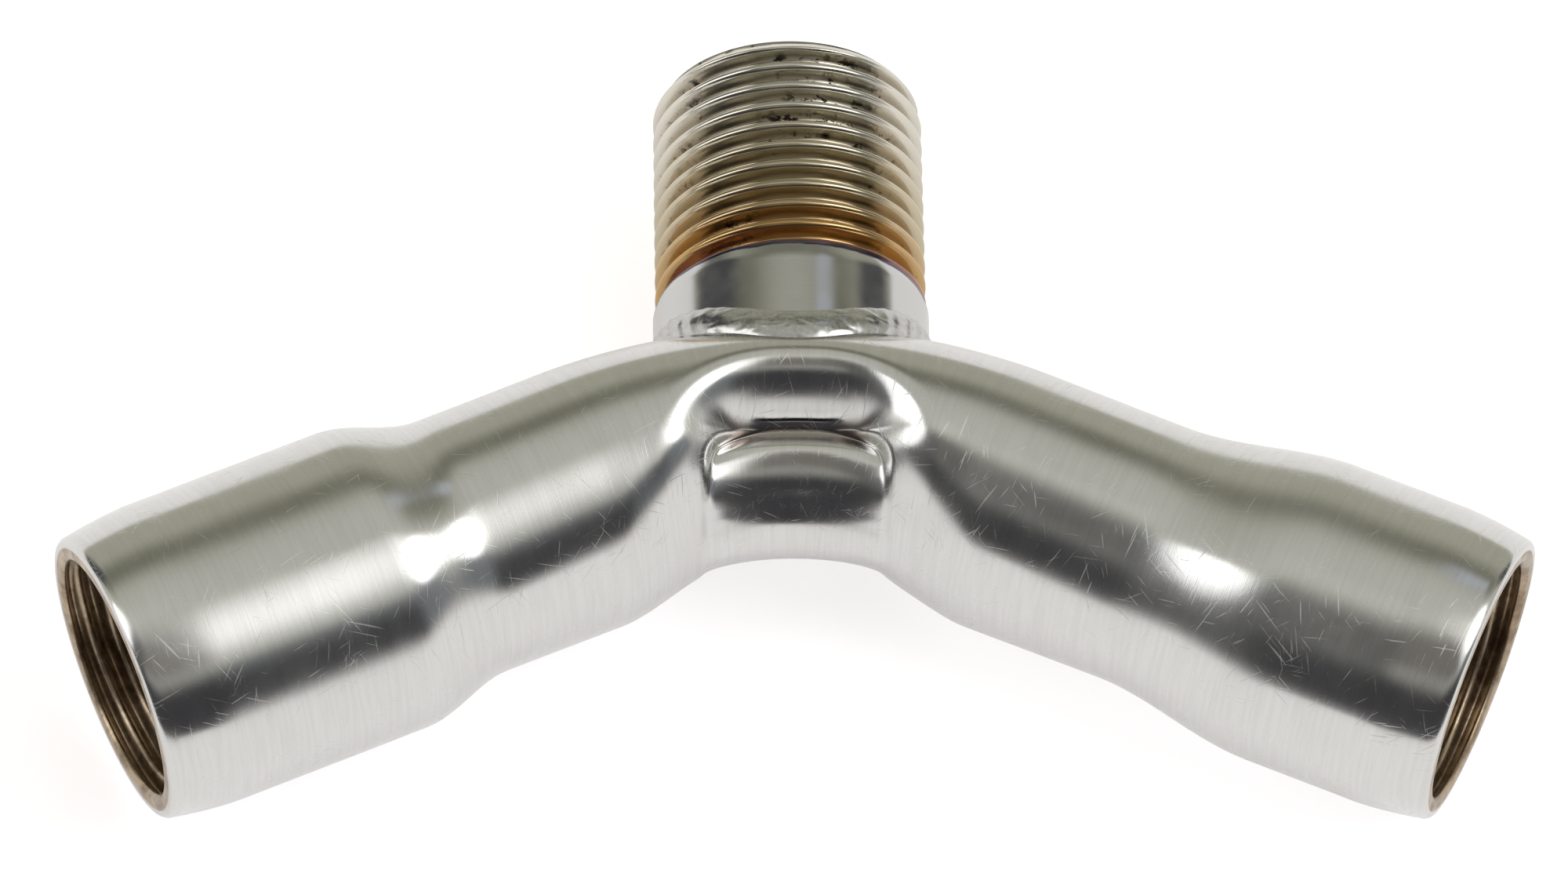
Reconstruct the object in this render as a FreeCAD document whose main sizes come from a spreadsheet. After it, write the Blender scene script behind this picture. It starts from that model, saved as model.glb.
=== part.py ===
import FreeCAD, Part
import math
import os
import Sketcher
from FreeCAD import Placement, Rotation, Vector

# Y pipe adapter: a welded fitting that splits one half inch pipe into two.
# The bent tube lies flat, its two ends go out to the left and right and
# towards the front (-Y), and the male nipple points to the back (+Y). All is
# built round the point where the axes of both legs and of the nipple meet. At
# the end it is set down: its sockets lie on the floor, Z = 0, and the origin is
# on the floor under the middle of the whole.

doc = FreeCAD.newDocument("y_pipe_adapter")

# Driving sizes in millimetres and degrees: alias, value, what it is.
SIZES = [
    ("leg_angle", 24.3, "how far each leg turns to the front, from the X axis"),
    ("leg_length", 56.9, "from the meeting point of the axes to the mouth face"),
    ("bend_radius", 40.0, "centre line radius of the bend"),
    ("neck_diameter", 20.2, "outside of the tube between bend and swage"),
    ("tube_wall", 2.7, "wall of the tube"),
    ("socket_diameter", 23.9, "outside of the swaged end"),
    ("swage_start_left", 28.5, "from the meeting point to the start of the left swage"),
    ("swage_run_left", 6.5, "length of the left swage, the short one"),
    ("swage_start_right", 30.5, "from the meeting point to the start of the right swage"),
    ("swage_run_right", 10.5, "length of the right swage, the long one"),
    ("swage_softness_left", 0.61, "rounded share of the left swage"),
    ("swage_softness_right", 0.67, "rounded share of the right swage"),
    ("mouth_draw", 1.4, "how much narrower the rolled in mouth is than the socket"),
    ("mouth_roll", 5.6, "length over which the mouth is rolled in"),
    ("mouth_rounding", 30.0, "radius where the rolling in starts"),
    ("mouth_edge", 0.23, "rounded share of the mouth face, at its outer edge"),
    ("thread_major", 20.955, "half inch parallel pipe thread, major diameter"),
    ("thread_minor", 18.631, "half inch parallel pipe thread, minor diameter"),
    ("tap_allowance", 0.43, "how much narrower than the thread the socket is before tapping"),
    ("countersink", 0.435, "depth of the countersink at the mouth face"),
    ("socket_thread_length", 15.0, "depth of the thread in each socket"),
    ("oval_height", 1.85, "how much the bend is squeezed taller and thinner"),
    ("oval_shift", 0.6, "how far the squeeze pushes the section to the back"),
    ("crown_angle", 77.0, "where the crown rolls over, round the section from the back"),
    ("fold_angle", 101.0, "where the pressed fold is deepest"),
    ("fold_depth", 5.05, "depth of the fold below the squeezed section"),
    ("pad_angle", 115.0, "where the pad has its upper ridge"),
    ("pad_depth", 3.85, "depth of the ridge of the pad below the squeezed section"),
    ("saddle_half_width", 7.0, "half width of the pressed saddle at the front"),
    ("fold_half_width", 5.0, "half width of the pressed saddle at the fold"),
    ("saddle_side_run", 3.4, "length of the slope at each side of the saddle"),
    ("collar_diameter", 21.3, "outside of the nipple below its thread"),
    ("nipple_root", 2.5, "how far the nipple reaches past the meeting point, before coping"),
    ("collar_end", 9.3, "from the meeting point to the first thread"),
    ("nipple_end", 28.5, "from the meeting point to the end of the nipple"),
    ("nipple_bore", 15.8, "bore of the nipple"),
    ("nipple_end_diameter", 19.5, "nipple face, inside its end chamfer"),
    ("nipple_chamfer", 1.1, "length of the end chamfer"),
    ("port_diameter", 14.6, "hole in the back of the bend, under the nipple"),
    ("bead_radius", 1.9, "radius of the weld bead round the foot of the nipple"),
    ("bead_height", 0.7, "how far the bead stands out of the collar"),
    ("bead_rise", 1.2, "from the foot of the collar to the middle of the bead"),
]

sheet = doc.addObject("Spreadsheet::Sheet", "Sizes")
for row, (alias, value, note) in enumerate(SIZES, start=1):
    sheet.set(f"A{row}", note)
    sheet.set(f"B{row}", str(value))
    sheet.setAlias(f"B{row}", alias)
doc.recompute()


def size(alias):
    """One driving size, read from the sheet."""
    return float(sheet.get(alias))


def smooth(t):
    """Rise from 0 to 1 with level ends."""
    t = min(1.0, max(0.0, t))
    return t * t * (3.0 - 2.0 * t)


# The formed bend. Its centre line is one arc between the two straight legs.

leg_turn = math.radians(size("leg_angle"))
bend_half = size("bend_radius") * leg_turn
bend_centre_y = -size("bend_radius") / math.cos(leg_turn)


def squeeze(station, angle):
    """Change of radius where the bend is taller than it is deep.

    The station is the length along the centre line from the middle. The angle
    goes round the section: 0 at the back, 90 degrees at the top, 180 at the front.
    """
    strength = smooth(1.0 - abs(station) / bend_half)
    taller = -size("oval_height") * math.cos(2.0 * angle)
    shifted = size("oval_shift") * math.cos(angle)
    return strength * (taller + shifted)


# How much the pad bulges between its ridge and the front, as a share of depth.
PAD_CROWNING = 0.3


def press_depth(degrees):
    """Depth of the press in the middle of the bend: crown, fold, pad, saddle."""
    crown = size("crown_angle")
    fold = size("fold_angle")
    pad = size("pad_angle")
    if degrees < fold:
        return size("fold_depth") * smooth((degrees - crown) / (fold - crown))
    if degrees < pad:
        rise = smooth((degrees - fold) / (pad - fold))
        return size("fold_depth") + (size("pad_depth") - size("fold_depth")) * rise
    share = (180.0 - degrees) / (180.0 - pad)
    return size("pad_depth") * share * (1.0 - PAD_CROWNING * (1.0 - share))


def press_window(x, degrees):
    """Share of the press that is left at a distance x from the middle."""
    low = smooth((degrees - size("crown_angle")) / (180.0 - size("pad_angle")))
    half = size("fold_half_width") + (size("saddle_half_width") - size("fold_half_width")) * low
    return 1.0 - smooth((abs(x) - half) / size("saddle_side_run"))


def section_point(station, degrees, inset):
    """Point of the formed surface, moved inwards by the inset."""
    turn = station / size("bend_radius")
    angle = math.radians(degrees)
    outward = Vector(math.sin(turn), math.cos(turn), 0.0)
    centre = Vector(0.0, bend_centre_y, 0.0) + outward * size("bend_radius")
    radius = size("neck_diameter") / 2.0 + squeeze(station, angle)
    unpressed = centre + outward * (radius * math.cos(angle))
    radius -= press_depth(abs(degrees)) * press_window(unpressed.x, abs(degrees))
    radius -= inset
    return centre + outward * (radius * math.cos(angle)) + Vector(0.0, 0.0, radius * math.sin(angle))


# Degrees before the crown and behind the ridge of the pad that also get the
# closer points.
FOLD_LEAD_IN = 4.0
FOLD_LEAD_OUT = 10.0


def section_angles(coarse_step, fold_steps):
    """Angles round a section, closer together where the fold is."""
    start = size("crown_angle") - FOLD_LEAD_IN
    end = size("pad_angle") + FOLD_LEAD_OUT
    fold = [start + (end - start) * k / fold_steps for k in range(fold_steps + 1)]
    coarse = [-180.0 + coarse_step * k for k in range(int(360.0 / coarse_step))]
    gap = coarse_step / 2.0
    plain = [a for a in coarse if not start - gap < abs(a) < end + gap]
    return sorted(plain + fold + [-a for a in fold])


def formed_bend(inset, sections, coarse_step, fold_steps):
    """Solid through the sections of the bend, from one leg to the other."""
    wires = []
    angles = section_angles(coarse_step, fold_steps)
    for k in range(sections):
        station = bend_half * (2.0 * k / (sections - 1) - 1.0)
        points = [section_point(station, a, inset) for a in angles]
        outline = Part.BSplineCurve()
        outline.interpolate(Points=points, PeriodicFlag=True)
        wires.append(Part.Wire([outline.toShape()]))
    return Part.makeLoft(wires, True, False)


bend_skin = doc.addObject("Part::Feature", "BendSkin")
bend_skin.Shape = formed_bend(0.0, sections=23, coarse_step=10.0, fold_steps=9)
bend_hollow = doc.addObject("Part::Feature", "BendHollow")
bend_hollow.Shape = formed_bend(size("tube_wall"), sections=15, coarse_step=15.0, fold_steps=6)


# Turned and swaged pieces are revolved from profiles whose corners are tied to
# the sheet. A corner is a pair of expressions: its place along the axis, and
# its radius.

def add_profile(body, name, corners):
    """Closed profile of straight lines in the body's own XY plane."""
    plane = next(f for f in body.Origin.OriginFeatures if f.Role == "XY_Plane")
    sketch = body.newObject("Sketcher::SketchObject", name)
    sketch.AttachmentSupport = (plane, "")
    sketch.MapMode = "FlatFace"
    places = [[float(sketch.evalExpression(e)) for e in corner] for corner in corners]
    points = [Vector(along, radius, 0.0) for along, radius in places]
    for k, point in enumerate(points):
        sketch.addGeometry(Part.LineSegment(point, points[(k + 1) % len(points)]), False)
    for k in range(len(points)):
        sketch.addConstraint(Sketcher.Constraint("Coincident", k, 2, (k + 1) % len(points), 1))
    for k, corner in enumerate(corners):
        for kind, value, expression in zip(("DistanceX", "DistanceY"), places[k], corner):
            index = sketch.addConstraint(Sketcher.Constraint(kind, -1, 1, k, 1, value))
            sketch.setExpression(f"Constraints[{index}]", expression)
    return sketch


def revolve(body, kind, sketch):
    """Full turn of a profile about the body's X axis, added or taken away."""
    turned = body.newObject(f"PartDesign::{kind}", sketch.Name + kind)
    turned.Profile = sketch
    turned.ReferenceAxis = (sketch, ["H_Axis"])
    turned.Angle = 360.0
    doc.recompute()
    return turned


SAME_PLACE = 1e-4


def round_edges(body, name, corners, radius):
    """Fillet of the circular edges that the given corners of the profile make."""
    base = body.Tip
    places = [[float(body.evalExpression(e)) for e in corner] for corner in corners]
    names = []
    for k, edge in enumerate(base.Shape.Edges, start=1):
        if not isinstance(edge.Curve, Part.Circle):
            continue
        for along, edge_radius in places:
            near = abs(edge.Curve.Center.x - along) < SAME_PLACE
            if near and abs(edge.Curve.Radius - edge_radius) < SAME_PLACE:
                names.append(f"Edge{k}")
    fillet = body.newObject("PartDesign::Fillet", name)
    fillet.Base = (base, names)
    fillet.setExpression("Radius", radius)
    doc.recompute()
    return fillet


NECK = "Sizes.neck_diameter / 2"
SOCKET = "Sizes.socket_diameter / 2"
NECK_INSIDE = f"{NECK} - Sizes.tube_wall"
SOCKET_INSIDE = "(Sizes.thread_minor - Sizes.tap_allowance) / 2"
MOUTH = "(Sizes.socket_diameter - Sizes.mouth_draw) / 2"
MOUTH_INSIDE = f"{SOCKET_INSIDE} - Sizes.mouth_draw / 2"
MOUTH_BORE = "Sizes.thread_minor / 2 + Sizes.countersink"
LEG_START = "Sizes.bend_radius * tan(Sizes.leg_angle)"
ROLL_START = "Sizes.leg_length - Sizes.mouth_roll"


def swaged_leg(side):
    """One straight leg: neck, swage, socket, rolled mouth and tapped bore."""
    start = f"Sizes.swage_start_{side}"
    end = f"Sizes.swage_start_{side} + Sizes.swage_run_{side}"
    body = doc.addObject("PartDesign::Body", f"Leg{side.title()}")
    outline = [
        (LEG_START, NECK),
        (start, NECK),
        (end, SOCKET),
        (ROLL_START, SOCKET),
        ("Sizes.leg_length", MOUTH),
        ("Sizes.leg_length", MOUTH_INSIDE),
        (ROLL_START, SOCKET_INSIDE),
        (end, SOCKET_INSIDE),
        (start, NECK_INSIDE),
        (LEG_START, NECK_INSIDE),
    ]
    revolve(body, "Revolution", add_profile(body, f"Wall{side.title()}", outline))
    tapped = [
        ("Sizes.leg_length - Sizes.socket_thread_length", "0"),
        ("Sizes.leg_length - Sizes.socket_thread_length", "Sizes.thread_minor / 2"),
        ("Sizes.leg_length - Sizes.countersink", "Sizes.thread_minor / 2"),
        ("Sizes.leg_length", MOUTH_BORE),
        ("Sizes.leg_length", "0"),
    ]
    revolve(body, "Groove", add_profile(body, f"Tapping{side.title()}", tapped))
    swage_rounding = f"Sizes.swage_softness_{side} * Sizes.swage_run_{side}^2 / ({SOCKET} - {NECK})"
    round_edges(body, f"Swage{side.title()}", [(start, NECK), (end, SOCKET)], swage_rounding)
    round_edges(body, f"Roll{side.title()}", [(ROLL_START, SOCKET)], "Sizes.mouth_rounding")
    mouth_rounding = f"Sizes.mouth_edge * ({MOUTH} - ({MOUTH_BORE}))"
    round_edges(body, f"Mouth{side.title()}", [("Sizes.leg_length", MOUTH)], mouth_rounding)
    return body


leg_left = swaged_leg("left")
leg_left.Placement = Placement(Vector(), Rotation(Vector(0, 0, 1), 180.0))
leg_left.setExpression("Placement.Rotation.Angle", "180 + Sizes.leg_angle")
leg_right = swaged_leg("right")
leg_right.Placement = Placement(Vector(), Rotation(Vector(0, 0, -1), 1.0))
leg_right.setExpression("Placement.Rotation.Angle", "Sizes.leg_angle")

nipple_body = doc.addObject("PartDesign::Body", "NippleTurned")
nipple_outline = [
    ("-Sizes.nipple_root", "Sizes.nipple_bore / 2"),
    ("-Sizes.nipple_root", "Sizes.collar_diameter / 2"),
    ("Sizes.collar_end", "Sizes.collar_diameter / 2"),
    ("Sizes.collar_end", "Sizes.thread_major / 2"),
    ("Sizes.nipple_end - Sizes.nipple_chamfer", "Sizes.thread_major / 2"),
    ("Sizes.nipple_end", "Sizes.nipple_end_diameter / 2"),
    ("Sizes.nipple_end", "Sizes.nipple_bore / 2"),
]
revolve(nipple_body, "Revolution", add_profile(nipple_body, "NippleOutline", nipple_outline))
nipple_body.Placement = Placement(Vector(), Rotation(Vector(0, 0, 1), 90.0))
doc.recompute()

# The branch tube: bend and legs are one piece of metal, with a port cut
# through the back of the bend into the nipple.

JOIN_TOLERANCE = 0.001

tube_blank = doc.addObject("Part::Feature", "TubeBlank")
formed_wall = bend_skin.Shape.cut(bend_hollow.Shape)
tube_blank.Shape = formed_wall.fuse([leg_left.Shape, leg_right.Shape], JOIN_TOLERANCE)

port = doc.addObject("Part::Cylinder", "Port")
port.setExpression("Radius", "Sizes.port_diameter / 2")
port.setExpression("Height", "Sizes.collar_end")
port.Placement = Placement(Vector(), Rotation(Vector(1, 0, 0), -90.0))

bent_tube = doc.addObject("Part::Cut", "BentTube")
bent_tube.Label = "bent_tube"
bent_tube.Base = tube_blank
bent_tube.Tool = port

# The nipple is coped to the tube, so that its foot follows the bend all round.

threaded_nipple = doc.addObject("Part::Cut", "ThreadedNipple")
threaded_nipple.Label = "threaded_nipple"
threaded_nipple.Base = nipple_body
threaded_nipple.Tool = bend_skin
doc.recompute()

# The weld: a round bead along the line where the collar meets the tube, less
# what lies inside either of them.

BEAD_RINGS = 32


def bead_point(turn):
    """Middle of the bead, above where the collar's outside leaves the tube."""
    across = Vector(math.cos(turn), 0.0, math.sin(turn))
    collar = across * (size("collar_diameter") / 2.0)
    root = Vector(0.0, -size("nipple_root"), 0.0)
    ray = Part.makeLine(collar + root, collar + Vector(0.0, size("nipple_end"), 0.0))
    foot = ray.common(bend_skin.Shape).BoundBox.YMax
    middle = size("collar_diameter") / 2.0 + size("bead_height") - size("bead_radius")
    return across * middle + Vector(0.0, foot + size("bead_rise"), 0.0)


def bead_ring(centre, way, away):
    """Round wire of four arcs across the bead, its first point facing away."""
    radius = size("bead_radius")
    across = (away - way * away.dot(way)).normalize()
    beside = way.cross(across)
    spokes = [across, beside, across * -1.0, beside * -1.0]
    arcs = []
    for k, spoke in enumerate(spokes):
        after = spokes[(k + 1) % len(spokes)]
        middle = (spoke + after).normalize()
        arcs.append(Part.Arc(centre + spoke * radius, centre + middle * radius, centre + after * radius))
    return Part.Wire([arc.toShape() for arc in arcs])


bead_line = Part.BSplineCurve()
bead_line.interpolate(
    Points=[bead_point(2.0 * math.pi * k / BEAD_RINGS) for k in range(BEAD_RINGS)],
    PeriodicFlag=True)
line_start = bead_line.FirstParameter
line_length = bead_line.LastParameter - line_start
rings = []
for k in range(BEAD_RINGS):
    place = line_start + line_length * k / BEAD_RINGS
    centre = bead_line.value(place)
    rings.append(bead_ring(centre, bead_line.tangent(place)[0], Vector(centre.x, 0.0, centre.z)))

bead_rod = doc.addObject("Part::Feature", "BeadRod")
bead_rod.Shape = Part.makeLoft(rings, True, False, True)

nipple_core = doc.addObject("Part::Cylinder", "NippleCore")
nipple_core.setExpression("Radius", "Sizes.collar_diameter / 2")
nipple_core.setExpression("Height", "Sizes.nipple_root + Sizes.nipple_end")
nipple_core.Placement = Placement(Vector(), Rotation(Vector(1, 0, 0), -90.0))
nipple_core.setExpression("Placement.Base.y", "-Sizes.nipple_root")

weld_ground = doc.addObject("Part::MultiFuse", "WeldGround")
weld_ground.Shapes = [bend_skin, nipple_core]

weld_bead = doc.addObject("Part::Cut", "WeldBead")
weld_bead.Label = "weld_bead"
weld_bead.Base = bead_rod
weld_bead.Tool = weld_ground
doc.recompute()

# Set down: the sockets lie on the floor, with the middle of the whole above
# the origin.

MOUTH_CENTRE = "Sizes.leg_length * sin(Sizes.leg_angle)"
MOUTH_REACH = f"{MOUTH} * cos(Sizes.leg_angle)"
SET_BACK = f"({MOUTH_CENTRE} + {MOUTH_REACH} - Sizes.nipple_end) / 2"

nodes = [bent_tube, threaded_nipple, weld_bead]
for node in nodes:
    node.setExpression("Placement.Base.y", SET_BACK)
    node.setExpression("Placement.Base.z", "Sizes.socket_diameter / 2")
doc.recompute()

for item in doc.Objects:
    if "Invalid" in item.State or "Error" in item.State:
        raise RuntimeError(f"{item.Name} did not build: {item.State}")
for node in nodes:
    if node.Shape.isNull() or not node.Shape.isValid() or len(node.Shape.Solids) != 1:
        raise RuntimeError(f"{node.Label} is not one sound solid")

os.makedirs("parts", exist_ok=True)
for node in nodes:
    node.Shape.exportStep(f"parts/{node.Label}.step")
    box = node.Shape.BoundBox
    print(f"{node.Label}: {node.Shape.Volume:.0f} mm3, {len(node.Shape.Faces)} faces,",
          f"y {box.YMin:.2f} to {box.YMax:.2f}")
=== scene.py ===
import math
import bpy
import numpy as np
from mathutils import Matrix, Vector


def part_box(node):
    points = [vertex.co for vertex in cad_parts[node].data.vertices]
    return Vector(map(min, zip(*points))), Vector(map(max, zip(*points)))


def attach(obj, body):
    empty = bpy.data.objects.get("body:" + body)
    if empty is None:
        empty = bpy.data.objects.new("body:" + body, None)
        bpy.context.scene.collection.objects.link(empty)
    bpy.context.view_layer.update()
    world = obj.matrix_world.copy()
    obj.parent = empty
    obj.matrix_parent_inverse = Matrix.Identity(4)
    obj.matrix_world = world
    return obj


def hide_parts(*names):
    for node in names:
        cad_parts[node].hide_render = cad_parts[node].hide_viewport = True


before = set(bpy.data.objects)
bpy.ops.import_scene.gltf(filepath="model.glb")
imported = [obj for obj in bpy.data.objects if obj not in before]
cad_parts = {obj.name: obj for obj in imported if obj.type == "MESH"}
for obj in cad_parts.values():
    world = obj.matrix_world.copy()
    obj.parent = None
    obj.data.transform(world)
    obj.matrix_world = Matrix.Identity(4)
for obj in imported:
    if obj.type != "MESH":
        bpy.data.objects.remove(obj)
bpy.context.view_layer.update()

# %% [markdown]
# # A stainless Y pipe adapter
#
# The real fitting is a bent tube with a male nipple welded to its back. The
# tube lies flat, its two mouths look out to the left and right and a little to
# the front, and the nipple points to the back, along +Y. The frame that was
# loaded above holds its solids. This script gives each of them a finer skin of
# the same form, with real threads, and the finish of polished stainless steel.

MM = 0.001

# %% [markdown]
# ## The sizes of the fitting
#
# A fitting is described by few sizes, and a helper that needs one should read
# it from one place. These are the workshop's sizes in millimetres. Everything is
# built round the point where the axes of both legs and of the nipple meet, and
# that point is found from the loaded solids: half way up the tube, and one
# nipple length behind the end of the nipple.

# %% Sizes
LEG_ANGLE = math.radians(24.3)
BEND_RADIUS = 40.0
LEG_LENGTH = 56.9
NECK_RADIUS = 10.1
SOCKET_RADIUS = 11.95
MOUTH_RADIUS = 11.25
MOUTH_BORE_RADIUS = 9.75
TUBE_WALL = 2.7
THREAD_CREST_RADIUS = 10.4775
THREAD_ROOT_RADIUS = 9.3155
THREAD_PITCH = 1.814
NIPPLE_END = 28.5
COLLAR_RADIUS = 10.65
COLLAR_END = 9.3
NIPPLE_BORE_RADIUS = 7.9
PORT_RADIUS = 7.3

nipple_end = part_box("threaded_nipple")[1].y
tube_low, tube_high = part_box("bent_tube")
MEETING_POINT = Vector((0.0, nipple_end - NIPPLE_END * MM, (tube_low.z + tube_high.z) / 2))
print("axes meet at, mm:", [round(v / MM, 3) for v in MEETING_POINT])


def smooth(t):
    """Rise from 0 to 1 with level ends."""
    t = np.clip(t, 0.0, 1.0)
    return t * t * (3.0 - 2.0 * t)


def mix(a, b, share):
    """Value between a and b."""
    return a + (b - a) * share


# %% [markdown]
# ## The centre line of the tube
#
# The bender leaves one arc between two straight legs. A point on the tube is
# easiest to give as a place along that line, called the station, an angle round
# it, and a radius. The station is zero in the middle and grows to the right. The
# angle is zero at the back, 90 degrees on top and 180 at the front.

# %% Centre line
BEND_HALF = BEND_RADIUS * LEG_ANGLE
BEND_CENTRE_Y = -BEND_RADIUS / math.cos(LEG_ANGLE)
# A leg's length counts from the meeting point, which the arc cuts off short.
CORNER_CUT = BEND_RADIUS * math.tan(LEG_ANGLE) - BEND_HALF
MOUTH_STATION = LEG_LENGTH - CORNER_CUT


def on_the_tube(station, angle, radius):
    """Points (mm) at a station, an angle round the centre line and a radius."""
    turn = np.clip(station / BEND_RADIUS, -LEG_ANGLE, LEG_ANGLE)
    past = station - turn * BEND_RADIUS
    back = np.stack([np.sin(turn), np.cos(turn)], -1)
    way = np.stack([np.cos(turn), -np.sin(turn)], -1)
    flat = back * (BEND_RADIUS + radius * np.cos(angle))[..., None] + way * past[..., None]
    return np.stack([flat[..., 0], flat[..., 1] + BEND_CENTRE_Y, radius * np.sin(angle)], -1)


print(f"arc of the bend {2 * BEND_HALF:.1f} mm, mouths {MOUTH_STATION:.1f} mm from its middle")

# %% [markdown]
# ## The outside of the tube
#
# Three tools have shaped it: a mandrel that opened both ends, a die that rolled
# the mouths in, and the press that made the bend. It could be cut and blended
# from solids, but each of these tools only changes the radius. So the outside is
# one formula, which can be sampled as finely as the polish needs.
#
# The mandrel's work comes first. The left swage is short and steep, the right one
# long. Each is given by where it starts, from the meeting point, and its length.

# %% Swages and mouths
SWAGES = {"left": (28.0, 7.5), "right": (29.2, 13.0)}
ROLL_LENGTH = 5.9
ROLL_POWER = 1.6


def leg_radius(station):
    """Outside radius of the straight tube, before the bend was pressed."""
    along = np.abs(station) + CORNER_CUT
    start = np.where(station < 0, SWAGES["left"][0], SWAGES["right"][0])
    run = np.where(station < 0, SWAGES["left"][1], SWAGES["right"][1])
    opened = mix(NECK_RADIUS, SOCKET_RADIUS, smooth((along - start) / run))
    rolled = np.clip((along - LEG_LENGTH + ROLL_LENGTH) / ROLL_LENGTH, 0.0, 1.0)
    return opened - (SOCKET_RADIUS - MOUTH_RADIUS) * rolled ** ROLL_POWER


print("radius 30 mm out on the left and right leg:", [
    round(float(leg_radius(np.array(s))), 2) for s in (-30.0, 30.0)])

# %% [markdown]
# The press squeezed the bend to an oval that is taller than it is deep and fades
# out along the legs. It also pushed a fold into the inside corner, above and
# below. The fold starts at the crown angle and is deepest at the fold angle. Its
# wall is an arch, steep in the middle. From there a valley runs down to the front
# and widens. A short slit, where the metal closed on itself, lies on the wall.

# %% The pressed bend
OVAL_HEIGHT = 1.85
OVAL_SHIFT = 0.6
OVAL_TAIL = 1.0
OVAL_TAIL_SWELL = 0.5
OVAL_TAIL_REACH = 40.0
CROWN_ANGLE = 71.0
FOLD_ANGLE = 102.0
FRONT_ANGLE = 180.0
FOLD_DEPTH = 5.1
FRONT_DEPTH = 0.6
FALL_POWER = 1.7
FOLD_HALF_WIDTH = 1.5
FOLD_SIDE_RUN = 9.5
VALLEY_HALF_WIDTH = 4.7
VALLEY_SIDE_RUN = 8.5
VALLEY_TURN = 50.0
SLIT_ANGLE = 95.0
SLIT_HALF_ANGLE = 1.3
SLIT_HALF_WIDTH = 3.7
SLIT_END_RUN = 0.6
SLIT_DEPTH = 0.1


def steep(t):
    """Rise from 0 to 1 with level ends and a steep middle."""
    t = np.clip(t, 0.0, 1.0)
    return t ** 3 * (t * (6.0 * t - 15.0) + 10.0)


def press_depth(x, degrees):
    """How far the press pushed the wall in, at x from the middle and an angle from the back."""
    beside = np.abs(x)
    side = np.maximum(beside - FOLD_HALF_WIDTH, 0.0) / FOLD_SIDE_RUN
    rise = np.maximum(FOLD_ANGLE - degrees, 0.0) / (FOLD_ANGLE - CROWN_ANGLE)
    arch = 1.0 - steep(np.hypot(side, rise))
    valley = 1.0 - smooth((beside - VALLEY_HALF_WIDTH) / VALLEY_SIDE_RUN)
    window = mix(arch, valley, smooth((degrees - FOLD_ANGLE) / VALLEY_TURN))
    from_front = 1.0 - np.clip((degrees - FOLD_ANGLE) / (FRONT_ANGLE - FOLD_ANGLE), 0.0, 1.0)
    pocket = mix(FRONT_DEPTH, FOLD_DEPTH, from_front ** FALL_POWER) * window
    slit = smooth(1.0 - np.abs(degrees - SLIT_ANGLE) / SLIT_HALF_ANGLE) * smooth(
        (SLIT_HALF_WIDTH - beside) / SLIT_END_RUN)
    return pocket + SLIT_DEPTH * slit


print(f"deepest place of the fold: {float(press_depth(np.array(0.0), FOLD_ANGLE)):.2f} mm")

# %% [markdown]
# The pad is what the middle punch of the press left: a pillow between the fold and
# the front, with a flat strip under it. Its radius could follow from the squeezed
# tube, but the punch had a form of its own. So it has two profiles, at the middle
# and at its side, each a short list of angle and radius, and the radius changes
# smoothly between them. Its outline is a rounded one with a crease round it.

# %% The pad
PAD_MIDDLE = ((90, 6.45), (101, 6.5), (105, 6.6), (109, 6.9), (113, 7.18), (118, 7.22),
              (139, 7.12), (150, 7.3), (160, 7.55), (170, 7.75), (180, 7.82))
PAD_SIDE = ((90, 6.3), (101, 6.3), (108, 6.6), (114, 7.2), (120, 7.6), (128, 7.85),
            (138, 7.95), (150, 7.8), (160, 7.8), (170, 8.05), (180, 8.25))
PAD_HALF_WIDTH = 6.4
PAD_EDGE_POWER = 2.2
PAD_TOP_ANGLE = 101.0
PAD_SHOULDER_ANGLE = 122.0
PAD_SQUARENESS = 2.8
CREASE_WIDTH = 0.17
CREASE_START = 0.3
# The profiles are read every quarter degree and rounded over a window of 27 readings.
PROFILE_ANGLES = np.arange(80.0, 200.0, 0.25)
ROUNDING = np.hanning(27)


def profile(points, degrees):
    """Radius along a list of angles and radii, with its corners rounded."""
    rough = np.interp(PROFILE_ANGLES, *zip(*points))
    padded = np.pad(rough, len(ROUNDING) // 2, mode="edge")
    rounded = np.convolve(padded, ROUNDING / ROUNDING.sum(), "valid")
    return np.interp(degrees, PROFILE_ANGLES, rounded)


def pad_radius(x, degrees):
    """Radius of the pad and of the strip below it."""
    across = np.clip(np.abs(x) / PAD_HALF_WIDTH, 0.0, 1.1)
    return mix(profile(PAD_MIDDLE, degrees), profile(PAD_SIDE, degrees), across ** PAD_EDGE_POWER)


def pad_share(x, degrees):
    """Share of the pad: 1 inside its rounded outline and 0 outside the crease round it."""
    across = np.abs(x) / PAD_HALF_WIDTH
    up = np.maximum(PAD_SHOULDER_ANGLE - degrees, 0.0) / (PAD_SHOULDER_ANGLE - PAD_TOP_ANGLE)
    reach = (across ** PAD_SQUARENESS + up ** PAD_SQUARENESS) ** (1.0 / PAD_SQUARENESS)
    return 1.0 - smooth((reach - 1.0) / CREASE_WIDTH + CREASE_START)


print(f"radius on the shoulder of the pad: {pad_radius(0.0, PAD_SHOULDER_ANGLE):.2f} mm")

# %% [markdown]
# Now the tools' work is put together: the straight tube, its oval, the press on
# top of that, and the pad in place of both where it is. The three radii that are
# printed should be those of a caliper on the neck, the socket and the mouth.

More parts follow.
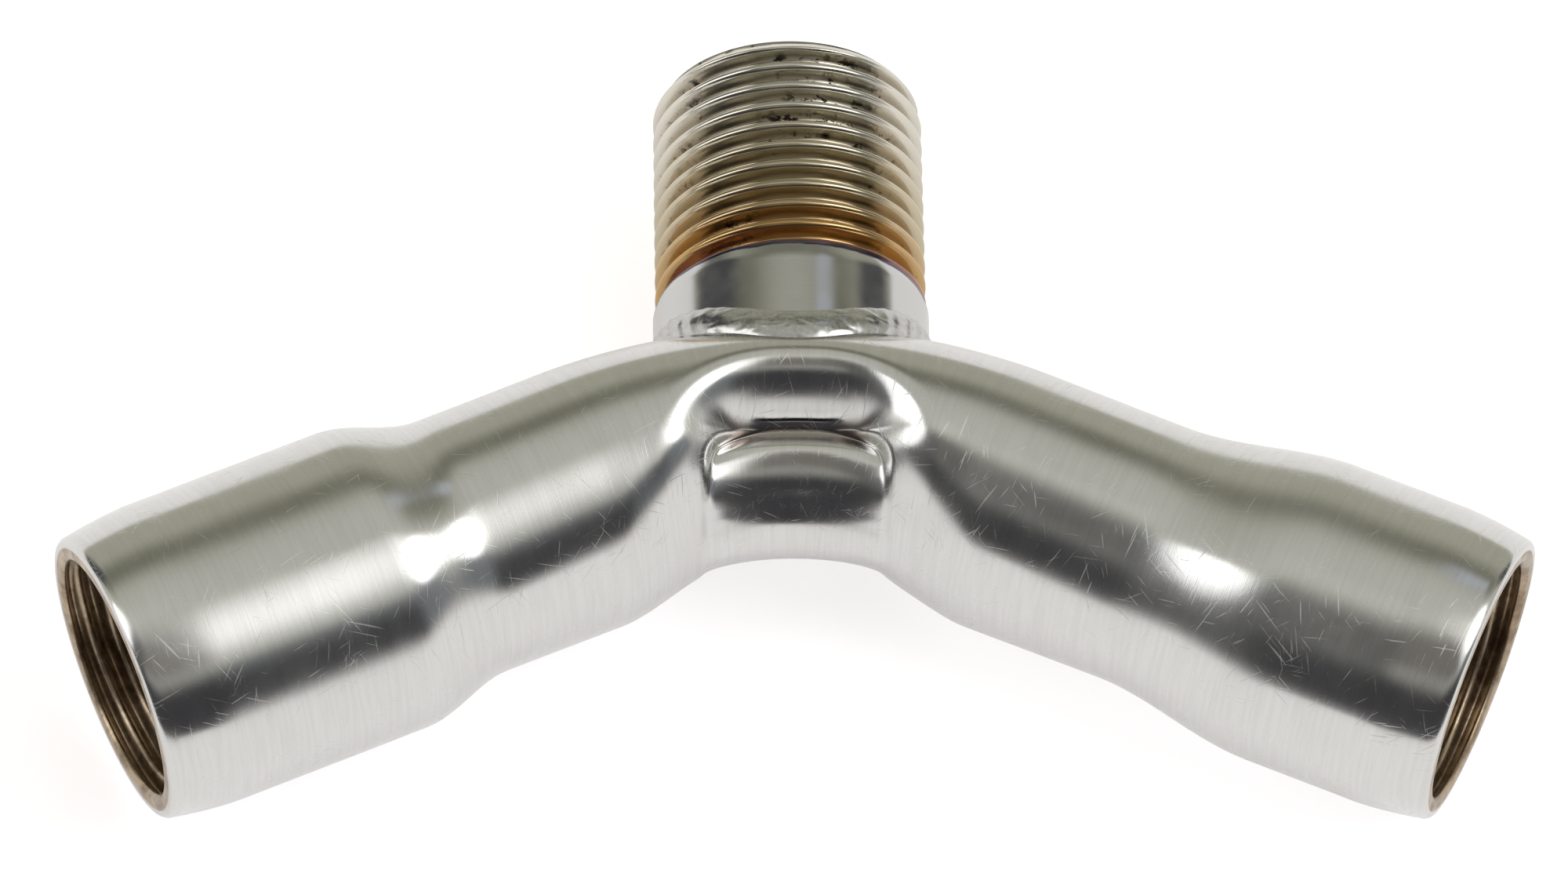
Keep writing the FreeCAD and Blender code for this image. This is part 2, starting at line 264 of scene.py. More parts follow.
# %% Outside of the tube
def tube_radius(station, angle):
    """Outside radius of the finished tube."""
    squeeze = smooth(1.0 - np.abs(station) / BEND_HALF)
    tail = OVAL_TAIL * smooth(1.0 - np.abs(station) / OVAL_TAIL_REACH) * (1.0 - squeeze)
    squeezed = leg_radius(station) + squeeze * (
        OVAL_SHIFT * np.cos(angle) - OVAL_HEIGHT * np.cos(2.0 * angle)) + tail * (
        OVAL_TAIL_SWELL - np.cos(2.0 * angle))
    degrees = np.degrees(np.abs(angle))
    x = on_the_tube(station, angle, squeezed)[..., 0]
    return mix(squeezed - press_depth(x, degrees), pad_radius(x, degrees), pad_share(x, degrees))


print("radius at the neck, socket and mouth:", [
    round(float(tube_radius(np.array(s), np.array(0.0))), 2) for s in (20.0, 45.0, MOUTH_STATION)])

# %% [markdown]
# ## A skin from rows of points
#
# A turned or drawn surface is a net: rows of points along the piece, columns
# round it. One helper sews such a net into a mesh. Every skin here is closed, so
# the last row joins the first one. The helper also keeps, for each point, its
# place on the straight tube, as if the bend was never made. The finish needs it:
# polishing marks run round the tube, and follow the bend. A flat map called grain
# tells the metal which way its marks smear a reflection.

# %% Net
GRAIN_PER_MM = 0.01


def net(name, points, straight):
    """Mesh object from points (mm) in rows and columns. Both close round."""
    rows, columns = points.shape[:2]
    r, c = np.meshgrid(np.arange(rows), np.arange(columns), indexing="ij")
    after, beside = (r + 1) % rows, (c + 1) % columns
    faces = np.stack([r * columns + c, r * columns + beside,
                      after * columns + beside, after * columns + c], -1).reshape(-1, 4)
    mesh = bpy.data.meshes.new(name)
    mesh.from_pydata((points.reshape(-1, 3) * MM).tolist(), [], faces.tolist())
    mesh.transform(Matrix.Translation(MEETING_POINT))
    place = mesh.attributes.new("straight", "FLOAT_VECTOR", "POINT")
    place.data.foreach_set("vector", (straight.reshape(-1, 3)).astype(np.float32).ravel())
    corners = np.empty(len(mesh.loops), dtype=np.int64)
    mesh.loops.foreach_get("vertex_index", corners)
    turn = np.broadcast_to(np.arange(columns) / columns, (rows, columns))
    flat = np.stack([straight[..., 0] * GRAIN_PER_MM, turn], -1).reshape(-1, 2)
    mesh.uv_layers.new(name="grain").data.foreach_set("uv", flat[corners].ravel())
    mesh.shade_smooth()
    piece = bpy.data.objects.new(name, mesh)
    bpy.context.scene.collection.objects.link(piece)
    print(f"{name}: {rows} rows, {columns} columns, {2 * len(faces)} triangles")
    return piece


def spread(start, end, step):
    """Even steps from start up to but not at the end."""
    count = max(2, round(abs(end - start) / step))
    return start + (end - start) * np.arange(count) / count


# %% [markdown]
# ## Threads
#
# A half inch pipe thread has rounded crests and roots, 1.814 mm apart. Seen
# along the axis it is a wave, and each column round the piece starts the wave a
# bit later, which makes the helix. The crests are slightly flattened, as rolled
# and used threads are.

# %% Thread wave
THREAD_FLATNESS = 1.3


def thread_share(along, angle):
    """0 in the root and 1 on the crest of a right hand thread."""
    wave = np.sin(2.0 * np.pi * along / THREAD_PITCH - angle)
    return 0.5 + 0.5 * np.tanh(THREAD_FLATNESS * wave) / math.tanh(THREAD_FLATNESS)


print(f"height of the thread: {THREAD_CREST_RADIUS - THREAD_ROOT_RADIUS:.3f} mm")

# %% [markdown]
# ## The bent tube
#
# The tube is one closed skin. Its rows run along the outside from left to right,
# turn over the right lip, go back through the threaded socket, the hollow of the
# bend and the left socket, and turn over the left lip to where they began. The
# rows are close together where the press has left small forms, and the columns
# are close on top and below, where the fold is.

# %% Rows and columns of the tube
TUBE_COLUMNS = 200
CLOSEST_ANGLE = 104.0
CLOSE_REACH = 16.0
CLOSENESS = 2.5
SADDLE_END = 12.0
FINE_STEP = 0.21
COARSE_STEP = 0.62
LIP_ROUND = 0.35


def column_angles(count):
    """Angles round the tube, closer together round the fold and its mirror."""
    fine = np.linspace(-math.pi, math.pi, 20 * TUBE_COLUMNS + 1)
    away = (np.degrees(np.abs(fine)) - CLOSEST_ANGLE) / CLOSE_REACH
    closeness = 1.0 + CLOSENESS * np.exp(-away ** 2)
    total = np.concatenate([[0.0], np.cumsum((closeness[1:] + closeness[:-1]) / 2.0)])
    return np.interp(np.arange(count) / count * total[-1], total, fine)


outside_stations = np.concatenate([
    spread(-MOUTH_STATION + LIP_ROUND, -SADDLE_END, COARSE_STEP),
    spread(-SADDLE_END, SADDLE_END, FINE_STEP),
    spread(SADDLE_END, MOUTH_STATION - LIP_ROUND, COARSE_STEP),
    [MOUTH_STATION - LIP_ROUND]])
print("rows on the outside:", len(outside_stations))

# %% [markdown]
# The mouth is a thin lip, rounded outside, flat on its face and countersunk
# inside, where the tap starts more easily. The thread behind it begins after a
# short run in, and ends where the tap stopped, in a slightly narrower bore.

# %% Lips and tapped sockets
SOCKET_DEPTH = 15.0
COUNTERSINK = MOUTH_BORE_RADIUS - THREAD_ROOT_RADIUS
TAP_ALLOWANCE = 0.215
TAPPING_RADIUS = THREAD_ROOT_RADIUS - TAP_ALLOWANCE
THREAD_RUN_IN = 1.2
THREAD_RUN_OUT = 1.5 * THREAD_PITCH
LIP_ROUND_ROWS = 5
# Rows on the flat face as shares of its width, and in the countersink as depth and narrowing.
FACE_ROWS = (0.5, 0.93)
SINK_ROWS = ((0.04, 0.05), (COUNTERSINK * 0.6, COUNTERSINK * 0.6))


def lip():
    """Rows over one lip as (distance from the mouth face, radius), outside to inside."""
    quarter = np.linspace(0.0, math.pi / 2, LIP_ROUND_ROWS + 1)[1:]
    outer = [(LIP_ROUND * (1 - math.sin(q)), MOUTH_RADIUS - LIP_ROUND * (1 - math.cos(q)))
             for q in quarter]
    face = [(0.0, mix(MOUTH_RADIUS - LIP_ROUND, MOUTH_BORE_RADIUS, s)) for s in FACE_ROWS]
    sink = [(depth, MOUTH_BORE_RADIUS - inward) for depth, inward in SINK_ROWS]
    return outer + face + sink


def socket_radius(depth, angle, side):
    """Radius of the tapped bore at a depth behind the mouth face."""
    full = smooth(depth / THREAD_RUN_IN) * smooth((SOCKET_DEPTH - depth) / THREAD_RUN_OUT)
    threaded = THREAD_ROOT_RADIUS + full * (THREAD_CREST_RADIUS - THREAD_ROOT_RADIUS) * (
        1.0 - thread_share(side * depth, angle))
    sunk = MOUTH_BORE_RADIUS - depth
    return np.where(depth < SOCKET_DEPTH, np.maximum(threaded, sunk), TAPPING_RADIUS)


print("rows over a lip:", len(lip()))

# %% [markdown]
# All rows are now gathered in the order of the walk along the skin, and sewn. The
# inside of the bend is the outside less the wall, because a press moves both.

# %% Skin of the tube
THREAD_STEP = THREAD_PITCH / 10
HOLLOW_STEP = 1.6
PAST_THREAD = 0.2
HOLLOW_START = 0.4


def tube_rows():
    """Stations and radii of all rows, each with one value for each column."""
    angle = column_angles(TUBE_COLUMNS)
    stations, radii = [], []

    def add(station, radius):
        stations.append(np.full_like(angle, station))
        radii.append(np.broadcast_to(radius, angle.shape))

    for station in outside_stations:
        add(station, tube_radius(np.full_like(angle, station), angle))
    depths = spread(COUNTERSINK, SOCKET_DEPTH + PAST_THREAD, THREAD_STEP)
    for depth, radius in lip():
        add(MOUTH_STATION - depth, radius)
    for depth in depths:
        add(MOUTH_STATION - depth, socket_radius(np.full_like(angle, depth), angle, 1.0))
    inner_end = MOUTH_STATION - SOCKET_DEPTH - HOLLOW_START
    for station in spread(inner_end, -inner_end, HOLLOW_STEP):
        add(station, tube_radius(np.full_like(angle, station), angle) - TUBE_WALL)
    for depth in depths[::-1]:
        add(-MOUTH_STATION + depth, socket_radius(np.full_like(angle, depth), angle, -1.0))
    for depth, radius in lip()[::-1]:
        add(-MOUTH_STATION + depth, radius)
    return np.array(stations), np.array(radii), np.tile(angle, (len(stations), 1))


tube_stations, tube_radii, tube_angles = tube_rows()
straight_tube = np.stack([tube_stations, tube_radii * np.cos(tube_angles),
                          tube_radii * np.sin(tube_angles)], -1)
tube = net("bent_tube_skin", on_the_tube(tube_stations, tube_angles, tube_radii),
           straight_tube)

# %% [markdown]
# ## The port under the nipple
#
# The back of the bend is drilled through the bore of the nipple. A boolean does
# the same to the skin: a plain cutter takes the port away, and is then thrown
# away itself. The cutter has many sides, so that the edge is round.

# %% Port
PORT_CUT_END = 9.0
PORT_SIDES = 96


def cutter(radius, start, end, sides):
    """Closed rod along +Y (mm), as a mesh object for a boolean."""
    turn = np.arange(sides) * 2.0 * np.pi / sides
    ring = np.stack([radius * np.sin(turn), 0.0 * turn, radius * np.cos(turn)], -1)
    points = np.concatenate([ring + [0, start, 0], ring + [0, end, 0]]) * MM
    sides_of = [(k, (k + 1) % sides, sides + (k + 1) % sides, sides + k) for k in range(sides)]
    caps = [tuple(range(sides))[::-1], tuple(range(sides, 2 * sides))]
    mesh = bpy.data.meshes.new("cutter")
    mesh.from_pydata(points.tolist(), [], sides_of + caps)
    mesh.transform(Matrix.Translation(MEETING_POINT))
    rod = bpy.data.objects.new("cutter", mesh)
    bpy.context.scene.collection.objects.link(rod)
    return rod


def take_away(piece, rod):
    """Cuts the rod out of the piece and removes the rod."""
    cut = piece.modifiers.new("port", "BOOLEAN")
    cut.operation = "DIFFERENCE"
    cut.solver = "MANIFOLD"
    cut.object = rod
    bpy.context.view_layer.update()
    evaluated = piece.evaluated_get(bpy.context.evaluated_depsgraph_get())
    finished = bpy.data.meshes.new_from_object(evaluated)
    piece.modifiers.clear()
    old = piece.data
    piece.data = finished
    bpy.data.meshes.remove(old)
    bpy.data.meshes.remove(rod.data)


faces_before = len(tube.data.polygons)
take_away(tube, cutter(PORT_RADIUS, 0.0, PORT_CUT_END, PORT_SIDES))
print("faces of the tube before and after the port:", faces_before, len(tube.data.polygons))

# %% [markdown]
# ## Where the nipple's foot meets the tube
#
# The foot of the nipple was coped to the back of the bend. To sew that line, the
# script has to know how far back the tube's skin lies under a given point of the
# foot. It searches along the skin: from a guess of station and angle, it steps
# towards the wanted point until the miss is small. Limits on each step keep the
# search from running round the side of the tube, where the skin turns away.

# %% Back of the tube
SEARCH_STEPS = 40
LARGEST_STEP = 0.1
LARGEST_SINE = 0.95
LARGEST_ANGLE = 1.5
SMALLEST_ARM = 3.0


def back_of_tube(x, z):
    """Y (mm) of the tube's back skin where it has this x and z."""
    station = x * 1.0
    angle = np.arcsin(np.clip(z / NECK_RADIUS, -LARGEST_SINE, LARGEST_SINE))
    for _ in range(SEARCH_STEPS):
        radius = tube_radius(station, angle)
        found = on_the_tube(station, angle, radius)
        station = station + (x - found[..., 0])
        arm = np.maximum(radius * np.cos(angle), SMALLEST_ARM)
        lift = np.clip((z - found[..., 2]) / arm, -LARGEST_STEP, LARGEST_STEP)
        angle = np.clip(angle + lift, -LARGEST_ANGLE, LARGEST_ANGLE)
    return on_the_tube(station, angle, tube_radius(station, angle))[..., 1]


foot_turn = np.linspace(0.0, 2.0 * np.pi, 9)
foot_line = back_of_tube(COLLAR_RADIUS * np.sin(foot_turn), COLLAR_RADIUS * np.cos(foot_turn))
print("foot of the collar, mm, every eighth of a turn from the top:", np.round(foot_line, 2))

# %% [markdown]
# ## The threaded nipple
#
# It is a short piece of pipe: a smooth collar, a thread that runs out against
# it, a chamfer at the end, and a plain bore. Its rows run from the foot up the
# outside, over the end face, and back down the bore to the foot.

# %% Nipple
NIPPLE_COLUMNS = 176
CHAMFER = 1.1
END_RADIUS = 9.75
FOOT_SINK = 0.25
NIPPLE_RUN_IN = 0.7
COLLAR_EDGE = 0.25
COLLAR_ROWS = 13
BORE_ROWS = 11
NIPPLE_THREAD_STEP = THREAD_PITCH / 16
# Rows over the end face, as distance from the end and radius.
END_FACE = ((0.03, END_RADIUS), (0.0, END_RADIUS - 0.06), (0.0, NIPPLE_BORE_RADIUS + 0.25),
            (0.06, NIPPLE_BORE_RADIUS + 0.1), (0.25, NIPPLE_BORE_RADIUS))


def nipple_radius(along, angle):
    """Outside radius of the nipple above its collar."""
    run_in = smooth((along - COLLAR_END) / NIPPLE_RUN_IN)
    threaded = THREAD_CREST_RADIUS - (THREAD_CREST_RADIUS - THREAD_ROOT_RADIUS) * (
        1.0 - thread_share(along, angle)) * run_in
    step = mix(COLLAR_RADIUS, THREAD_CREST_RADIUS, smooth((along - COLLAR_END) / COLLAR_EDGE))
    chamfer = END_RADIUS + (NIPPLE_END - along) * (THREAD_CREST_RADIUS - END_RADIUS) / CHAMFER
    return np.minimum(np.minimum(threaded, step), chamfer)


def nipple_rows():
    """Places along the axis and radii of all rows of the nipple."""
    turn = np.arange(NIPPLE_COLUMNS) * 2.0 * np.pi / NIPPLE_COLUMNS
    foot = back_of_tube(COLLAR_RADIUS * np.sin(turn), COLLAR_RADIUS * np.cos(turn)) - FOOT_SINK
    bore_foot = back_of_tube(NIPPLE_BORE_RADIUS * np.sin(turn), NIPPLE_BORE_RADIUS * np.cos(turn))
    along, radius = [], []
    for share in np.linspace(0.0, 1.0, COLLAR_ROWS + 1)[:-1]:
        along.append(mix(foot, COLLAR_END, share))
        radius.append(np.full_like(turn, COLLAR_RADIUS))
    for place in spread(COLLAR_END, NIPPLE_END - END_FACE[0][0], NIPPLE_THREAD_STEP):
        along.append(np.full_like(turn, place))
        radius.append(nipple_radius(along[-1], turn))
    for depth, wide in END_FACE:
        along.append(np.full_like(turn, NIPPLE_END - depth))
        radius.append(np.full_like(turn, wide))
    for share in np.linspace(0.0, 1.0, BORE_ROWS + 1)[1:]:
        along.append(mix(NIPPLE_END - END_FACE[-1][0], bore_foot, share))
        radius.append(np.full_like(turn, NIPPLE_BORE_RADIUS))
    return np.array(along), np.array(radius), np.tile(turn, (len(along), 1))


nipple_along, nipple_radii, nipple_turns = nipple_rows()
nipple_points = np.stack([nipple_radii * np.sin(nipple_turns), nipple_along,
                          nipple_radii * np.cos(nipple_turns)], -1)
nipple = net("threaded_nipple_skin", nipple_points, nipple_points[..., [1, 0, 2]])

# %% [markdown]
# ## The weld
#
# The weld is a rounded bead in the corner between collar and tube. It was ground
# back on top and below, so there only a low, flatter swell is left, while at the
# left and right foot the ripples of each drop of metal still show. Each column
# of the bead is an arc from the collar down to the tube, closed inside the
# nipple's wall.

# %% Weld bead
BEAD_RADIUS = 1.7
BEAD_HEIGHT = 0.45
GROUND_RADIUS = 3.0
GROUND_HEIGHT = 0.36
GROUND_POWER = 3
BEAD_INSIDE = 8.9
BEAD_RISE = 0.9
BEAD_CORNER = 0.6
BEAD_COLUMNS = 640
BEAD_ARC = np.radians(np.linspace(-95.0, 150.0, 22))
RIPPLES = 46
RIPPLE_DEPTH = 0.07
RIPPLE_LEAN = 1.6


def bead_points():
    """Points (mm) of the bead: rows across it, columns along it."""
    turn = np.arange(BEAD_COLUMNS) * 2.0 * np.pi / BEAD_COLUMNS
    foot = back_of_tube(COLLAR_RADIUS * np.sin(turn), COLLAR_RADIUS * np.cos(turn))
    side = np.abs(np.sin(turn)) ** GROUND_POWER
    bead_radius = mix(GROUND_RADIUS, BEAD_RADIUS, side)
    middle = COLLAR_RADIUS + mix(GROUND_HEIGHT, BEAD_HEIGHT, side) - bead_radius
    rows = []
    for arc in BEAD_ARC:
        ripple = np.sin(RIPPLES * turn + RIPPLE_LEAN * math.cos(arc))
        radius = bead_radius + RIPPLE_DEPTH * (ripple - 1.0) * side
        out = np.maximum(middle + radius * math.cos(arc), BEAD_INSIDE)
        rows.append(np.stack([out * np.sin(turn), foot + BEAD_RISE + radius * math.sin(arc),
                              out * np.cos(turn)], -1))
    rows.append(np.stack([BEAD_INSIDE * np.sin(turn), foot + BEAD_RISE - BEAD_CORNER,
                          BEAD_INSIDE * np.cos(turn)], -1))
    return np.array(rows)


bead_net = bead_points()
bead = net("weld_bead_skin", bead_net, bead_net[..., [1, 0, 2]])
for piece, node, slot in ((tube, "bent_tube", "tube_steel"),
                          (nipple, "threaded_nipple", "nipple_steel"),
                          (bead, "weld_bead", "weld_steel")):
    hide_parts(node)
    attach(piece, "root")

# %% [markdown]
# ## Writing a finish
#
# A finish is a small net of shader nodes. Wiring it by hand takes many lines, so
# one helper adds a node and sets its inputs, and a few short ones on top of it
# write what a finish is made of: sums, noises, ramps, blends and bare metal. The
# places are in millimetres, so the scale of a noise is in cells to the millimetre.

# %% Finish helpers
GRAIN_SMEAR = 0.5


class Finish:
    """The nodes of a material or of the room, added one by one in the order of the work."""

    def __init__(self, owner):
        owner.use_nodes = True
        self.tree = owner.node_tree
        self.tree.nodes.clear()

    def feed(self, made, inputs):
        """Inputs of a node, given as values or as sockets of other nodes."""
        for key, value in inputs.items():
            if isinstance(value, bpy.types.NodeSocket):
                self.tree.links.new(value, made.inputs[key])
            else:
                made.inputs[key].default_value = value

    def node(self, kind, inputs=None, **settings):
        """New node with its settings and its inputs."""
        made = self.tree.nodes.new("ShaderNode" + kind)
        for key, value in settings.items():
            setattr(made, key, value)
        self.feed(made, inputs or {})
        return made

    def math(self, operation, a, b=0.0):
        """Result of a sum, product or comparison."""
        return self.node("Math", {0: a, 1: b}, operation=operation).outputs[0]

    def parts(self, place):
        """The three numbers of a place."""
        return self.node("SeparateXYZ", {0: place}).outputs

    def straight(self):
        """The place on the straight piece, in millimetres: along it, and two ways across."""
        return self.node("Attribute", attribute_name="straight").outputs["Vector"]

    def noise(self, place, scale=1.0, detail=3.0, roughness=0.55, distortion=0.0):
        """Fractal noise from 0 to 1."""
        return self.node("TexNoise", {"Vector": place, "Scale": scale, "Detail": detail,
                                      "Roughness": roughness, "Distortion": distortion}).outputs[0]

    def stretch(self, place, scale, turn=0.0):
        """The place, turned flat, then scaled each way, so that a noise on it is drawn out."""
        return self.node("Mapping", {"Vector": place, "Scale": [1.0 / s for s in scale],
                                     "Rotation": (0.0, 0.0, turn)}, vector_type="TEXTURE").outputs[0]

    def ramp(self, value, low, high, start=0.0, end=1.0):
        """Value carried from low..high to start..end with level ends."""
        return self.node("MapRange", {"Value": value, "From Min": low, "From Max": high,
                                      "To Min": start, "To Max": end},
                         interpolation_type="SMOOTHSTEP").outputs[0]

    def blend(self, share, a, b):
        """Colour a where the share is 0, and b where it is 1."""
        made = self.node("Mix", data_type="RGBA")
        self.feed(made, {0: share, 6: a, 7: b})
        return made.outputs[2]

    def steel(self, colour, roughness, height, depth):
        """Bare metal with this colour, roughness and relief. The grain smears along the piece."""
        bump = self.node("Bump", {"Height": height, "Distance": depth, "Strength": 1.0})
        along = self.node("Tangent", direction_type="UV_MAP", uv_map="grain").outputs[0]
        shader = self.node("BsdfPrincipled", {"Base Color": colour, "Metallic": 1.0,
                                              "Roughness": roughness, "Anisotropic": GRAIN_SMEAR,
                                              "Normal": bump.outputs[0], "Tangent": along})
        self.node("OutputMaterial", {"Surface": shader.outputs[0]})


# %% [markdown]
# The colour of clean steel is a grey, a little warmer or colder. And each piece
# gets exactly one material, whatever it had before, so that nothing is left over.

# %% Greys and one material a piece
def grey(level, warmth=0.0):
    """Grey colour, a little warmer or colder."""
    return (level * (1.0 + warmth), level, level * (1.0 - warmth), 1.0)


def dress(piece, material):
    """Gives a piece its one material."""
    piece.data.materials.clear()
    piece.data.materials.append(material)
    print(f"finish of {piece.name}: {len(material.node_tree.nodes)} nodes")


# %% [markdown]
# ## Scratches
#
# The tube has been handled, and short bright scratches lie on it in all
# directions. They could be drawn one by one, but there are too many. So the skin
# of the straight tube is rolled out flat, and for each of a few directions a
# noise on it is drawn out to thin streaks, of which only the crests are kept. A
# second, soft noise gathers them in loose groups.

# %% Scratches
SCRATCH_TURNS = (1.5, 1.2, 0.75, 0.2, -0.5, -1.1)
# Cells to the millimetre along a scratch, across it, and in depth.
STREAK_CELLS = (0.28, 6.5, 1.0)
GROUP_CELLS = (0.16, 0.2, 1.0)
STREAK_CREST = (0.70, 0.735)
GROUP_EDGE = (0.42, 0.62)


def unrolled(finish, place):
    """The skin of the straight tube rolled out flat, in millimetres, cut open at the back."""
    parts = finish.parts(place)
    around = finish.math("ARCTAN2", parts[2], finish.math("MULTIPLY", parts[1], -1.0))
    across = finish.math("MULTIPLY", around, NECK_RADIUS)
    return finish.node("CombineXYZ", {0: parts[0], 1: across}).outputs[0]


def scratches(finish, place):
    """Share of the thin scratches, one noise for each direction."""
    flat = unrolled(finish, place)
    lines = 0.0
    for turn in SCRATCH_TURNS:
        streaks = finish.noise(finish.stretch(flat, STREAK_CELLS, turn),
                               detail=1.0, roughness=0.3, distortion=0.25)
        groups = finish.noise(finish.stretch(flat, GROUP_CELLS, turn), detail=2.0)
        line = finish.math("MULTIPLY", finish.ramp(streaks, *STREAK_CREST),
                           finish.ramp(groups, *GROUP_EDGE))
        lines = finish.math("ADD", line, lines)
    return lines


# %% [markdown]
# ## Brown spots inside the sockets
#
# The tapped sockets are coloured darker and browner, in spots. A share from 0 to 1,
# made of ramps on the place on the straight tube, blends that colour over the
# steel. It begins behind a station on each leg, and inside a radius.

# %% Brown in the sockets
SOCKET_STATIONS = (36.0, 38.0)
SOCKET_RADII = (10.5, 10.7)
SOCKET_SPOT_CELLS = 0.5
SOCKET_SPOTS = (0.35, 0.65)
SOCKET_BROWN_DARK = (0.30, 0.22, 0.15, 1.0)
SOCKET_BROWN_LIGHT = (0.55, 0.44, 0.32, 1.0)


def from_the_axis(finish, place):
    """Distance of a place on the straight piece from its axis."""
    across = finish.node("VectorMath", {0: place, 1: (0.0, 1.0, 1.0)}, operation="MULTIPLY").outputs[0]
    return finish.node("VectorMath", {0: across}, operation="LENGTH").outputs["Value"]


def in_the_sockets(finish, place):
    """Share of the tapped inside of both sockets."""
    beside = finish.math("ABSOLUTE", finish.parts(place)[0])
    return finish.math("MULTIPLY", finish.ramp(beside, *SOCKET_STATIONS),
                       finish.ramp(from_the_axis(finish, place), *SOCKET_RADII, 1.0, 0.0))


def brown_spotted(finish, place, inside, colour):
    """The colour with dark and light brown spots where the share of the inside is 1."""
    spots = finish.ramp(finish.noise(place, SOCKET_SPOT_CELLS, roughness=0.7), *SOCKET_SPOTS)
    return finish.blend(inside, colour, finish.blend(spots, SOCKET_BROWN_DARK, SOCKET_BROWN_LIGHT))


# %% [markdown]
# ## Painted shade in the fold
#
# The slit of the upper fold has a dark line of painted shade, and the bottom of
# the fold, in front of the slit, a brown painted shade. Both follow the middle of
# the bend, so they fade out to its sides and end where the tube is low.

# %% Fold shade, painted
FOLD_SIDES = (4.6, 6.6)
FOLD_HEIGHTS = (5.0, 6.0)
# The bottom of the fold and its slit, as distances in front of the tube's axis.
FOLD_BOTTOM = 1.6
FOLD_BOTTOM_WIDTH = (0.35, 1.0)
FOLD_SHADE_BROWN = (0.20, 0.135, 0.10, 1.0)
FOLD_SHADE_SHARE = 0.6
SLIT_LINE = 0.63
SLIT_LINE_WIDTH = (0.02, 0.13)
SLIT_LINE_ENDS = (2.2, 3.8)
SLIT_SHADE_BLACK = (0.03, 0.025, 0.025, 1.0)
SLIT_SHADE_SHARE = 0.85


def fold_painted_shade(finish, place, colour):
    """The colour with painted shade: brown at the bottom of the upper fold, dark in its slit."""
    parts = finish.parts(place)
    beside = finish.math("ABSOLUTE", parts[0])
    above = finish.math("MULTIPLY", finish.ramp(beside, *FOLD_SIDES, 1.0, 0.0),
                        finish.ramp(parts[2], *FOLD_HEIGHTS))
    from_bottom = finish.math("ABSOLUTE", finish.math("ADD", parts[1], FOLD_BOTTOM))
    brown = finish.ramp(from_bottom, *FOLD_BOTTOM_WIDTH, FOLD_SHADE_SHARE, 0.0)
    from_slit = finish.math("ABSOLUTE", finish.math("ADD", parts[1], SLIT_LINE))
    black = finish.math("MULTIPLY", finish.ramp(from_slit, *SLIT_LINE_WIDTH, SLIT_SHADE_SHARE, 0.0),
                        finish.ramp(beside, *SLIT_LINE_ENDS, 1.0, 0.0))
    # painted shade: brown at the bottom of the fold, then dark in the slit
    colour = finish.blend(finish.math("MULTIPLY", above, brown), colour, FOLD_SHADE_BROWN)
    return finish.blend(finish.math("MULTIPLY", above, black), colour, SLIT_SHADE_BLACK)


# %% [markdown]
# ## Polished and brushed steel
#
# The tube was polished on a belt, so very fine marks run round it, coarser ones
# between them, and the belt has left the skin gently wavy. Some areas are duller
# than others. The marks are noise drawn out round the straight tube. They could
# be lighter and darker lines, but real ones are relief, a few thousandths of a
# millimetre deep, and only relief catches the light as they do.

# %% Tube steel
# Cells to the millimetre along the tube and both ways across it.
FINE_CELLS = (9.0, 0.25, 0.25)
COARSE_CELLS = (3.4, 0.16, 0.16)
BELT_WAVE_CELLS = 0.18
DULL_CELLS = 0.11
FINE_MARKS = 0.8
COARSE_MARKS = 0.14
BELT_WAVES = 6.0
SCRATCH_DEPTH = 0.5
SCRATCH_DULLNESS = 0.22
SOCKET_DULLNESS = 0.12
TUBE_ROUGHNESS = (0.16, 0.25)
TUBE_GREYS = (grey(0.69, 0.012), grey(0.73, 0.006))
TUBE_RELIEF = 0.0035 * MM


def tube_steel():
    """Finish of the bent tube. Its places are in millimetres on the straight tube."""
    material = bpy.data.materials.new("tube_steel")
    finish = Finish(material)
    place = finish.straight()
    marks = finish.noise(finish.stretch(place, FINE_CELLS), detail=4.0, roughness=0.62)
    coarse = finish.noise(finish.stretch(place, COARSE_CELLS), detail=2.0, roughness=0.5)
    waves = finish.noise(place, BELT_WAVE_CELLS, detail=1.0, roughness=0.4)
    dull = finish.noise(place, DULL_CELLS, roughness=0.6, distortion=0.4)
    lines = scratches(finish, place)
    inside = in_the_sockets(finish, place)
    height = finish.math("ADD", finish.math("MULTIPLY", marks, FINE_MARKS),
                         finish.math("MULTIPLY", coarse, COARSE_MARKS))
    height = finish.math("ADD", height, finish.math("MULTIPLY", waves, BELT_WAVES))
    height = finish.math("SUBTRACT", height, finish.math("MULTIPLY", lines, SCRATCH_DEPTH))
    roughness = finish.math("ADD", finish.ramp(dull, 0.35, 0.7, *TUBE_ROUGHNESS),
                            finish.math("MULTIPLY", lines, SCRATCH_DULLNESS))
    roughness = finish.math("ADD", roughness, finish.math("MULTIPLY", inside, SOCKET_DULLNESS))
    colour = finish.blend(finish.ramp(coarse, 0.3, 0.7), *TUBE_GREYS)
    # painted shade in the fold: brown at its bottom, dark in its slit
    colour = fold_painted_shade(finish, place, brown_spotted(finish, place, inside, colour))
    finish.steel(colour, roughness, height, TUBE_RELIEF)
    return material


dress(tube, tube_steel())

# %% [markdown]
# ## Heat on the nipple
#
# The weld heated the nipple from its foot, and steel keeps the colours of the
# heat: navy and purple where it was hottest above the collar, then straw, then
# nearly clean metal at the end. They are blended one over the other along the
# axis, and a soft noise makes their edges uneven. The collar was polished again
# after welding, so it is plain grey. The grooves of the thread get a painted
# brown shade, with black specks of swarf and oil in them.

